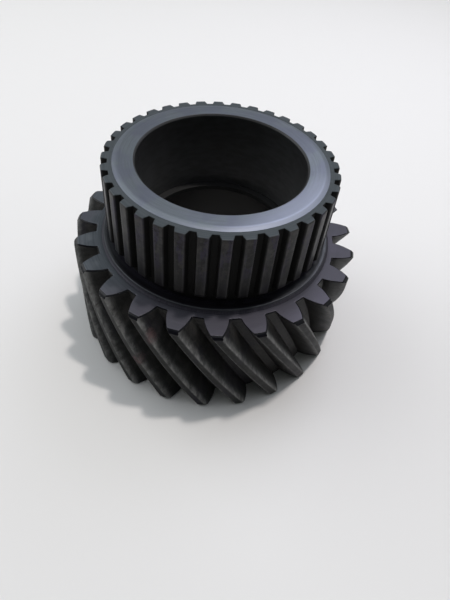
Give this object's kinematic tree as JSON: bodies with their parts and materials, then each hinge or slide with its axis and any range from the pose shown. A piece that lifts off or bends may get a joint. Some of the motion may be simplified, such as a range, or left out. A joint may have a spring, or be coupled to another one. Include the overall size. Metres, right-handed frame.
{
  "type": "helical gear",
  "caption": "Left-hand helical gear whose straight-splined clutch hub stands above the rim, with a plain through bore for two bearings.",
  "frame": {"origin": "centre of the lower end face, on the bore axis", "axes": "+Z along the bore axis from the toothed rim to the splined end; +X through a gap of the spline"},
  "size_m": [0.1448, 0.1448, 0.0995],
  "materials": {
    "gear_steel": "case-hardened, oiled, dark satin with worn tooth edges",
    "spline_steel": "case-hardened, dark satin",
    "ground_steel": "ground end face, dark oiled bore",
    "weld_steel": "fine weld bead, satin",
    "spring_steel": "blackened spring steel"
  },
  "bodies": {
    "root": {"helical_gear_rim": "gear_steel", "spline_sleeve": "spline_steel", "hub_sleeve": "ground_steel", "collar_weld_seam": "weld_steel", "bearing_retaining_ring": "spring_steel"}
  },
  "joints": []
}
